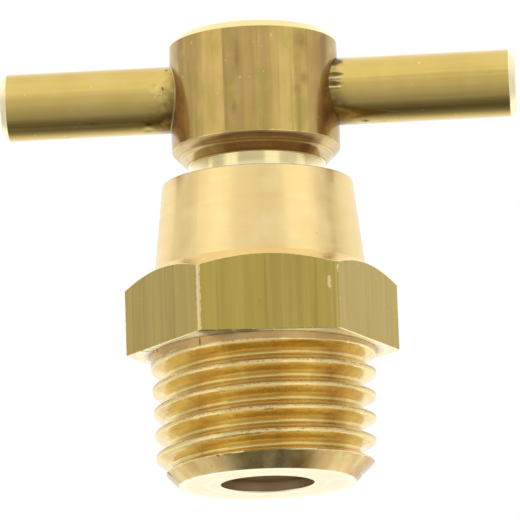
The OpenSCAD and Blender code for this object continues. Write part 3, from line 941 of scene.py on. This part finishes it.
def makeSpindle():
    shape = spindleShape
    nose = spindleLow.z
    top = spindleTop.z
    head = top - shape["headHeight"]
    shoulder = bodyTop.z - shape["shoulderDrop"]
    edge = shape["edgeRound"]
    groove = []
    for aside, deep in ((1, 0), (0, 1), (-1, 0)):
        back = (shape["grooveAt"] + aside * shape["grooveHalf"]) * math.sqrt(0.5)
        sunk = deep * shape["grooveDepth"] * math.sqrt(0.5)
        outward = shape["headRadius"] - back - sunk
        groove.append((outward, head + shape["headUnder"] - back + sunk, 0, 1, 0))
    section = fillSection([
        (0, nose + shape["stemHoleDepth"], 0, 1, 0),
        (shape["stemHoleRadius"], nose + shape["stemHoleDepth"], 0, 2, 0),
        (shape["stemHoleRadius"], nose, 0, 1, 0),
        (shape["shankRadius"] - shape["noseChamfer"], nose, 0, 1, 0),
        (shape["shankRadius"], nose + shape["noseChamfer"], 0, 6, 0),
        (shape["shankRadius"], shoulder, 0, 1, 0),
        (shape["neckRadius"], shoulder, 0, 4, 0),
        (shape["neckRadius"], head, 0, 2, 0),
        (shape["headRadius"] - shape["headUnder"], head, edge, 3, 0),
        *groove,
        (shape["headRadius"], head + shape["headUnder"], shape["underRound"], 24, 0),
        (shape["headRadius"], top - shape["headBevel"], edge, 2, 0),
        (shape["headRadius"] - shape["headBevel"], top, edge, 8, 0),
        (0, top, 0, 1, 0),
    ])
    rows = []
    for radius, height, _ in section:
        row = []
        for column in range(shape["columns"]):
            angle = math.tau * column / shape["columns"]
            x = radius * math.cos(angle)
            if height <= shoulder:
                x = max(-shape["flatsAcross"] / 2, min(shape["flatsAcross"] / 2, x))
            row.append(Vector((x, radius * math.sin(angle), height)))
        rows.append(row)
    mesh = gridMesh("turned_spindle", rows)
    slots = ("head", "neck", "bevel", "turned", "cone")
    for name in slots:
        mesh.materials.append(materials[name])
    for face in mesh.polygons:
        centre = face.center / mm
        if centre.z < head + edge:
            face.material_index = slots.index("neck")
        elif face.normal.z > shape["sloped"]:
            flat = Vector(centre[:2]).length < shape["headRadius"] - shape["headBevel"] - edge
            face.material_index = slots.index("turned" if flat else "bevel")
        elif face.normal.z < -shape["sloped"]:
            face.material_index = slots.index("cone")
    piece = bpy.data.objects.new("turned_spindle", mesh)
    bpy.context.scene.collection.objects.link(piece)
    cutAway(piece, crossHole())
    cleanMesh(piece.data, dirtAndShadeAt=headShadeAndDirt)
    return placePiece(piece, "spindle", "head_brass", "spindle")


def headShadeAndDirt(place):
    # Painted shade round both mouths of the cross hole, more of it below them, and faint dirt smudges
    shape = spindleShape
    local = barMatrix().inverted() @ place
    away = Vector(local[1:]).length - barShape["radius"]
    low = min(1.0, max(0.0, -local.z / barShape["radius"]))
    reach = shape["grimeReach"] + (shape["lowReach"] - shape["grimeReach"]) * low
    smudged = spotShare(place, shape["smudges"]) * shape["smudgeShare"]
    return max(smudged, 1.0 - away / reach if abs(local.x) > shape["grimeInner"] else 0.0)


def crossHole():
    # Cutter for the hole that holds the bar
    mesh = bpy.data.meshes.new("cross_hole")
    bm = bmesh.new()
    radius = (barShape["radius"] + spindleShape["holeGap"]) * mm
    bmesh.ops.create_cone(
        bm, cap_ends=True, segments=spindleShape["holeSides"], radius1=radius, radius2=radius,
        depth=spindleShape["cutterShare"] * spindleShape["headRadius"] * mm,
        matrix=Matrix.Rotation(math.radians(90), 4, "Y"))
    bm.to_mesh(mesh)
    bm.free()
    place = barMatrix()
    mesh.transform(Matrix.Translation(place.translation * mm) @ place.to_3x3().to_4x4())
    hole = bpy.data.objects.new("cross_hole", mesh)
    bpy.context.scene.collection.objects.link(hole)
    return hole


def barMatrix():
    # Local X runs along the bar, local Y to the back and local Z up
    height = spindleTop.z - spindleShape["headHeight"] + barShape["rise"]
    return Matrix.Translation((0, 0, height)) @ Matrix.Rotation(math.radians(barShape["turn"]), 4, "Z")


spindle = makeSpindle()
print("spindle:", len(spindle.data.polygons), "faces")


# Tee bar

def dentDepth(along, angle):
    depth = 0.0
    for place, fromFront, size, deep in barShape["dents"]:
        aside = (along - place) / size
        around = barShape["radius"] * math.radians(angle - fromFront) / size
        depth += deep * math.exp(-aside * aside - around * around)
    return depth


def makeBar():
    shape = barShape
    start = shape["offset"] - shape["length"] / 2
    end = start + shape["length"]
    radius = shape["radius"]
    before = round((shape["fineFrom"] - start) / shape["coarseStep"])
    fine = round((shape["fineTo"] - shape["fineFrom"]) / shape["fineStep"])
    after = round((end - shape["fineTo"]) / shape["coarseStep"])
    section = fillSection([
        (0, start, 0, 4, 0),
        (radius - shape["chamfer"], start, shape["edgeRound"], 1, 0),
        (radius, start + shape["chamfer"], shape["edgeRound"], before, 0),
        (radius, shape["fineFrom"], 0, fine, 0),
        (radius, shape["fineTo"], 0, after, 0),
        (radius, end - shape["chamfer"], shape["edgeRound"], 1, 0),
        (radius - shape["chamfer"], end, shape["edgeRound"], 4, 0),
        (0, end, 0, 1, 0),
    ])
    place = barMatrix()
    rows = []
    for ring, along, _ in section:
        row = []
        for column in range(shape["columns"]):
            # Zero is the front of the bar, and the angle grows towards its top
            angle = -360.0 * column / shape["columns"] + 180.0
            r = ring - (dentDepth(along, angle) if ring else 0)
            turned = math.radians(angle)
            row.append(place @ Vector((along, -r * math.cos(turned), r * math.sin(turned))))
        rows.append(row)
    mesh = gridMesh("drawn_bar", rows)
    for name in ("bar", "cut"):
        mesh.materials.append(materials[name])
    direction = place.to_3x3() @ Vector((1, 0, 0))
    for face in mesh.polygons:
        face.material_index = int(abs(face.normal.dot(direction)) > shape["sloped"])
    cleanMesh(mesh, dirtAndShadeAt=barShadeAndSpots)
    return addPiece("drawn_bar", mesh, "spindle", "bar_brass", "tee_bar")


def barShadeAndSpots(place):
    # Painted shade beside the head, more of it at the right and under the bar, and the bar's dark spots
    local = barMatrix().inverted() @ place
    beside = abs(local.x) - spindleShape["headRadius"]
    angle = math.degrees(math.atan2(local.z, -local.y))
    low = min(1.0, max(0.0, barShape["grimeRise"] - local.z / barShape["radius"]))
    reach = barShape["grimeReach"] + barShape["lowReach"] * low
    darkening = (barShape["grimeShare"] + barShape["lowShare"] * low) * (1.0 - beside / reach)
    for along, fromFront, size, tall, strength in barShape["dirt"]:
        aside = (local.x - along) / size
        around = barShape["radius"] * math.radians(angle - fromFront) / tall
        darkening = max(darkening, strength * math.exp(-aside * aside - around * around))
    return darkening


bar = makeBar()
print("bar:", len(bar.data.polygons), "faces")


# Serrations at the right of the head and the burr at its left

serrationShape = {
    "count": 22, "thickness": 0.115, "sunk": 0.06, "start": 3.6, "end": 5.3, "shortest": 0.5, "longest": 0.8,
    "phase": -0.1, "stray": 0.05, "bareMiddle": 5.5, "bareHalf": 1.0,
    "thinFrom": 0.8, "thinEnd": 0.35, "steps": 8, "sides": 10, "seed": 5, "seedStep": 7.0,
}
burrShape = {
    "thickness": 0.05, "proud": 0.05, "ragged": 0.05, "raggedSize": 0.5, "uneven": 2.2,
    "steps": 160, "sides": 8, "seed": 2.0,
}


def serrationTree():
    # One half-round ridge with a thin end, repeated round the bar's axis
    tree, given, result = newTree("barSerrations", "GeometryNodeTree", [
        ("Count", "Int"), ("Bar Radius", "Float"), ("Thickness", "Float"), ("Start", "Float"),
        ("End", "Float"),
        ("Shortest", "Float"), ("Longest", "Float"), ("Phase", "Float"), ("Stray", "Float"),
        ("Bare Middle", "Float"), ("Bare Half", "Float"), ("Steps", "Int"), ("Sides", "Int"),
        ("Seed", "Int"), ("Material", "Material")], [("Geometry", "Geometry")])
    line = addNode(tree, "GeometryNodeCurvePrimitiveLine", {
        "Start": joinVector(tree, given["Start"], 0.0, given["Bar Radius"]),
        "End": joinVector(tree, given["End"], 0.0, given["Bar Radius"])})
    fine = addNode(tree, "GeometryNodeResampleCurve", {"Curve": line.outputs[0], "Count": given["Steps"]})
    along = Field(tree, addNode(tree, "GeometryNodeSplineParameter").outputs["Factor"])
    thin = addNode(tree, "GeometryNodeSetCurveRadius", {
        "Curve": fine.outputs[0],
        "Radius": along.ramp(serrationShape["thinFrom"], 1.0, 1.0, serrationShape["thinEnd"])})
    profile = addNode(tree, "GeometryNodeCurvePrimitiveCircle", {
        "Resolution": given["Sides"], "Radius": given["Thickness"]})
    ridge = addNode(tree, "GeometryNodeCurveToMesh", {
        "Curve": thin.outputs[0], "Profile Curve": profile.outputs[0], "Fill Caps": True})
    points = addNode(tree, "GeometryNodeMeshLine", {"Count": given["Count"], "Offset": (0.0, 0.0, 0.0)})
    index = Field(tree, addNode(tree, "GeometryNodeInputIndex").outputs[0])
    stray = addNode(tree, "FunctionNodeRandomValue", data_type="FLOAT")
    feed(tree, stray.inputs[2], given["Stray"] * -1.0)
    feed(tree, stray.inputs[3], given["Stray"])
    feed(tree, stray.inputs["Seed"], given["Seed"])
    turn = (index + given["Phase"] + Field(tree, stray.outputs[1])) * math.tau / given["Count"]
    reach = addNode(tree, "FunctionNodeRandomValue", data_type="FLOAT")
    feed(tree, reach.inputs[2], given["Shortest"])
    feed(tree, reach.inputs[3], given["Longest"])
    feed(tree, reach.inputs["Seed"], given["Seed"] + serrationShape["seedStep"])
    # A few beside each other are longer and show past the head
    bare = (index - given["Bare Middle"]).math("ABSOLUTE").math("LESS_THAN", given["Bare Half"])
    around = addNode(tree, "GeometryNodeInstanceOnPoints", {
        "Points": points.outputs[0], "Instance": ridge.outputs[0],
        "Rotation": joinVector(tree, turn, 0.0, 0.0),
        "Scale": joinVector(tree, Field(tree, reach.outputs[1]).math("MAXIMUM", bare), 1.0, 1.0)})
    real = addNode(tree, "GeometryNodeRealizeInstances", {"Geometry": around.outputs[0]})
    painted = addNode(tree, "GeometryNodeSetMaterial", {
        "Geometry": real.outputs[0], "Material": given["Material"]})
    feed(tree, result.inputs["Geometry"], painted.outputs[0])
    return tree


def burrTree():
    # Ragged lip along the curve where the bar's round meets the head's round, on the -X side
    tree, given, result = newTree("holeBurr", "GeometryNodeTree", [
        ("Lip Radius", "Float"), ("Head Radius", "Float"), ("Thickness", "Float"), ("Ragged", "Float"),
        ("Ragged Size", "Float"), ("Steps", "Int"), ("Sides", "Int"), ("Seed", "Float"),
        ("Material", "Material")], [("Geometry", "Geometry")])
    circle = addNode(tree, "GeometryNodeCurvePrimitiveCircle", {
        "Resolution": given["Steps"], "Radius": given["Lip Radius"]})
    aside, upward, _ = splitVector(tree, addNode(tree, "GeometryNodeInputPosition").outputs[0])
    jagged = addNode(tree, "ShaderNodeTexNoise", {
        "Vector": joinVector(tree, aside, upward, 0.0), "W": given["Seed"],
        "Scale": given["Ragged Size"].math("POWER", -1.0), "Detail": 3.0}, noise_dimensions="4D")
    jagged = Field(tree, jagged.outputs[0]) - 0.5
    depth = (given["Head Radius"] * given["Head Radius"] - aside * aside).math("SQRT") * -1.0
    grown = jagged * given["Ragged"] / given["Lip Radius"] + 1.0
    laid = addNode(tree, "GeometryNodeSetPosition", {
        "Geometry": circle.outputs[0], "Position": joinVector(tree, depth, aside * grown, upward * grown)})
    uneven = addNode(tree, "GeometryNodeSetCurveRadius", {
        "Curve": laid.outputs[0], "Radius": jagged * burrShape["uneven"] + 1.0})
    profile = addNode(tree, "GeometryNodeCurvePrimitiveCircle", {
        "Resolution": given["Sides"], "Radius": given["Thickness"]})
    lip = addNode(tree, "GeometryNodeCurveToMesh", {
        "Curve": uneven.outputs[0], "Profile Curve": profile.outputs[0]})
    real = addNode(tree, "GeometryNodeRealizeInstances", {"Geometry": lip.outputs[0]})
    painted = addNode(tree, "GeometryNodeSetMaterial", {
        "Geometry": real.outputs[0], "Material": given["Material"]})
    feed(tree, result.inputs["Geometry"], painted.outputs[0])
    return tree


def layOnBar(piece, slot):
    # Takes a piece made along the bar's own axes to the bar's place
    place = barMatrix()
    piece.data.transform(Matrix.Translation(place.translation * mm) @ place.to_3x3().to_4x4())
    cleanMesh(piece.data, sharpAngle=60.0, fullBend=120.0, dirtAndShadeAt=barShadeAndSpots)
    return placePiece(piece, "spindle", slot)


serrations = layOnBar(runNodes("bar_serrations", serrationTree(), {
    "Count": serrationShape["count"], "Bar Radius": (barShape["radius"] - serrationShape["sunk"]) * mm,
    "Thickness": serrationShape["thickness"] * mm, "Start": serrationShape["start"] * mm,
    "End": serrationShape["end"] * mm, "Shortest": serrationShape["shortest"],
    "Longest": serrationShape["longest"], "Phase": serrationShape["phase"], "Stray": serrationShape["stray"],
    "Bare Middle": serrationShape["bareMiddle"], "Bare Half": serrationShape["bareHalf"],
    "Steps": serrationShape["steps"], "Sides": serrationShape["sides"],
    "Seed": serrationShape["seed"], "Material": materials["ridge"]}), "bar_brass")
burr = layOnBar(runNodes("hole_burr", burrTree(), {
    "Lip Radius": (barShape["radius"] + burrShape["proud"]) * mm,
    "Head Radius": spindleShape["headRadius"] * mm,
    "Thickness": burrShape["thickness"] * mm, "Ragged": burrShape["ragged"] * mm,
    "Ragged Size": burrShape["raggedSize"] * mm, "Steps": burrShape["steps"], "Sides": burrShape["sides"],
    "Seed": burrShape["seed"], "Material": materials["bevel"]}), "head_brass")
print("serrations and burr:", len(serrations.data.polygons), len(burr.data.polygons), "faces")

for node, material in (("jumper", "jumper"), ("seat_washer", "rubber")):
    for slot in frame["nodes"][node].material_slots:
        slot.material = materials[material]


# Light, floor and camera

lightShape = {
    # Brightness that the metal sees, by elevation in front (from straight down to straight up)
    "front": [(-90, 0.10), (-75, 0.17), (-64, 0.24), (-52, 0.40), (-36, 0.48), (-20, 0.59), (-5, 0.72),
              (12, 0.77), (25, 0.97), (38, 1.08), (90, 1.10)],
    # The same behind the piece
    "back": [(-90, 0.10), (-73, 0.17), (-62, 0.30), (-47, 0.66), (-32, 1.0), (-14, 1.18), (-4, 1.15),
             (10, 0.98), (30, 1.2), (90, 1.08)],
    # Share of the back's light by the angle from the front, left to right
    "around": [(-180, 1.0), (-138, 1.0), (-128, 0.1), (-92, 0.0), (-84, 0.5), (-76, 0.95), (-50.5, 1.0),
               (-47, 0.0), (14, 0.0), (18, 0.9), (50, 1.0), (53, 0.2), (70, 0.2), (100, 0.3), (117, 0.9),
               (136, 1.0), (180, 1.0)],
    # The strips lean over: degrees to the right for each degree of elevation, between two elevations
    "lean": 1.1, "leanFrom": 12.5, "leanHigh": 22.0,
    # Low light from the sides: brightness by elevation, and share by the angle from the front
    "low": [(-90, 0.0), (-76, 0.1), (-60, 0.5), (-35, 0.5), (-12, 0.0), (90, 0.0)],
    "lowAround": [(0, 0.0), (70, 0.0), (95, 1.0), (138, 1.0), (165, 0.0), (180, 0.0)],
}


def makeWorld():
    world = bpy.data.worlds.new("softStudio")
    bpy.context.scene.world = world
    world.use_nodes = True
    tree = world.node_tree
    tree.nodes.clear()
    x, y, z = splitVector(tree, addNode(tree, "ShaderNodeTexCoord").outputs["Generated"])
    elevation = z.math("ARCSINE") * (180 / math.pi)
    around = x.math("ARCTAN2", y * -1.0) * (180 / math.pi)
    front = colorRamp(tree, elevation, lightShape["front"], -90, 90)
    back = colorRamp(tree, elevation, lightShape["back"], -90, 90)
    raised = (elevation - lightShape["leanFrom"]).math("MAXIMUM", 0.0)
    leaning = around - raised.math("MINIMUM", lightShape["leanHigh"]) * lightShape["lean"]
    share = colorRamp(tree, leaning, lightShape["around"], -180, 180)
    low = colorRamp(tree, elevation, lightShape["low"], -90, 90)
    low = low * colorRamp(tree, around.math("ABSOLUTE"), lightShape["lowAround"], 0, 180)
    bright = front + (back - front) * share + low
    seen = addNode(tree, "ShaderNodeBackground", {"Color": bright})
    plain = addNode(tree, "ShaderNodeBackground", {"Color": (1.0, 1.0, 1.0, 1.0)})
    camera = addNode(tree, "ShaderNodeLightPath").outputs["Is Camera Ray"]
    both = addNode(tree, "ShaderNodeMixShader", {0: camera, 1: seen.outputs[0], 2: plain.outputs[0]})
    output = tree.nodes.new("ShaderNodeOutputWorld")
    tree.links.new(both.outputs[0], output.inputs["Surface"])


floorShape = {"size": 900.0, "drop": 0.15, "color": (0.86, 0.86, 0.85, 1.0)}


def makeFloor():
    # The floor shows from above only; the photo looks up at the piece through it
    half = floorShape["size"] / 2
    around = ((-half, -half), (half, -half), (half, half), (-half, half))
    corners = [Vector((x, y, -floorShape["drop"])) * mm for x, y in around]
    mesh = bpy.data.meshes.new("floor")
    mesh.from_pydata(corners, [], [(0, 1, 2, 3)])
    material = bpy.data.materials.new("paleFloor")
    material.use_nodes = True
    tree = material.node_tree
    tree.nodes.clear()
    matt = addNode(tree, "ShaderNodeBsdfPrincipled", {"Base Color": floorShape["color"], "Roughness": 0.9})
    clear = addNode(tree, "ShaderNodeBsdfTransparent")
    camera = Field(tree, addNode(tree, "ShaderNodeLightPath").outputs["Is Camera Ray"])
    behind = Field(tree, addNode(tree, "ShaderNodeNewGeometry").outputs["Backfacing"])
    shown = camera * (behind * -1.0 + 1.0)
    both = addNode(tree, "ShaderNodeMixShader", {0: shown, 1: clear.outputs[0], 2: matt.outputs[0]})
    output = tree.nodes.new("ShaderNodeOutputMaterial")
    tree.links.new(both.outputs[0], output.inputs["Surface"])
    mesh.materials.append(material)
    floor = bpy.data.objects.new("floor", mesh)
    bpy.context.scene.collection.objects.link(floor)


cameraShape = {
    "place": (-16.25, -290.68, -51.65), "target": (0.0, 0.0, 13.45), "roll": -1.967,
    "lens": 349.4, "sensor": 36.0,
}


def makeCamera():
    shape = cameraShape
    data = bpy.data.cameras.new("camera")
    data.lens = shape["lens"]
    data.sensor_width = shape["sensor"]
    data.clip_start = 0.01
    data.clip_end = 10.0
    camera = bpy.data.objects.new("camera", data)
    bpy.context.scene.collection.objects.link(camera)
    back = (Vector(shape["place"]) - Vector(shape["target"])).normalized()
    right = Vector((0, 0, 1)).cross(back).normalized()
    up = back.cross(right)
    level = Matrix((right, up, back)).transposed().to_4x4()
    roll = Matrix.Rotation(math.radians(shape["roll"]), 4, "Z")
    camera.matrix_world = Matrix.Translation(Vector(shape["place"]) * mm) @ level @ roll
    bpy.context.scene.camera = camera


makeWorld()
makeFloor()
makeCamera()
bpy.context.scene.view_settings.view_transform = "Standard"
print("light, floor and camera set")
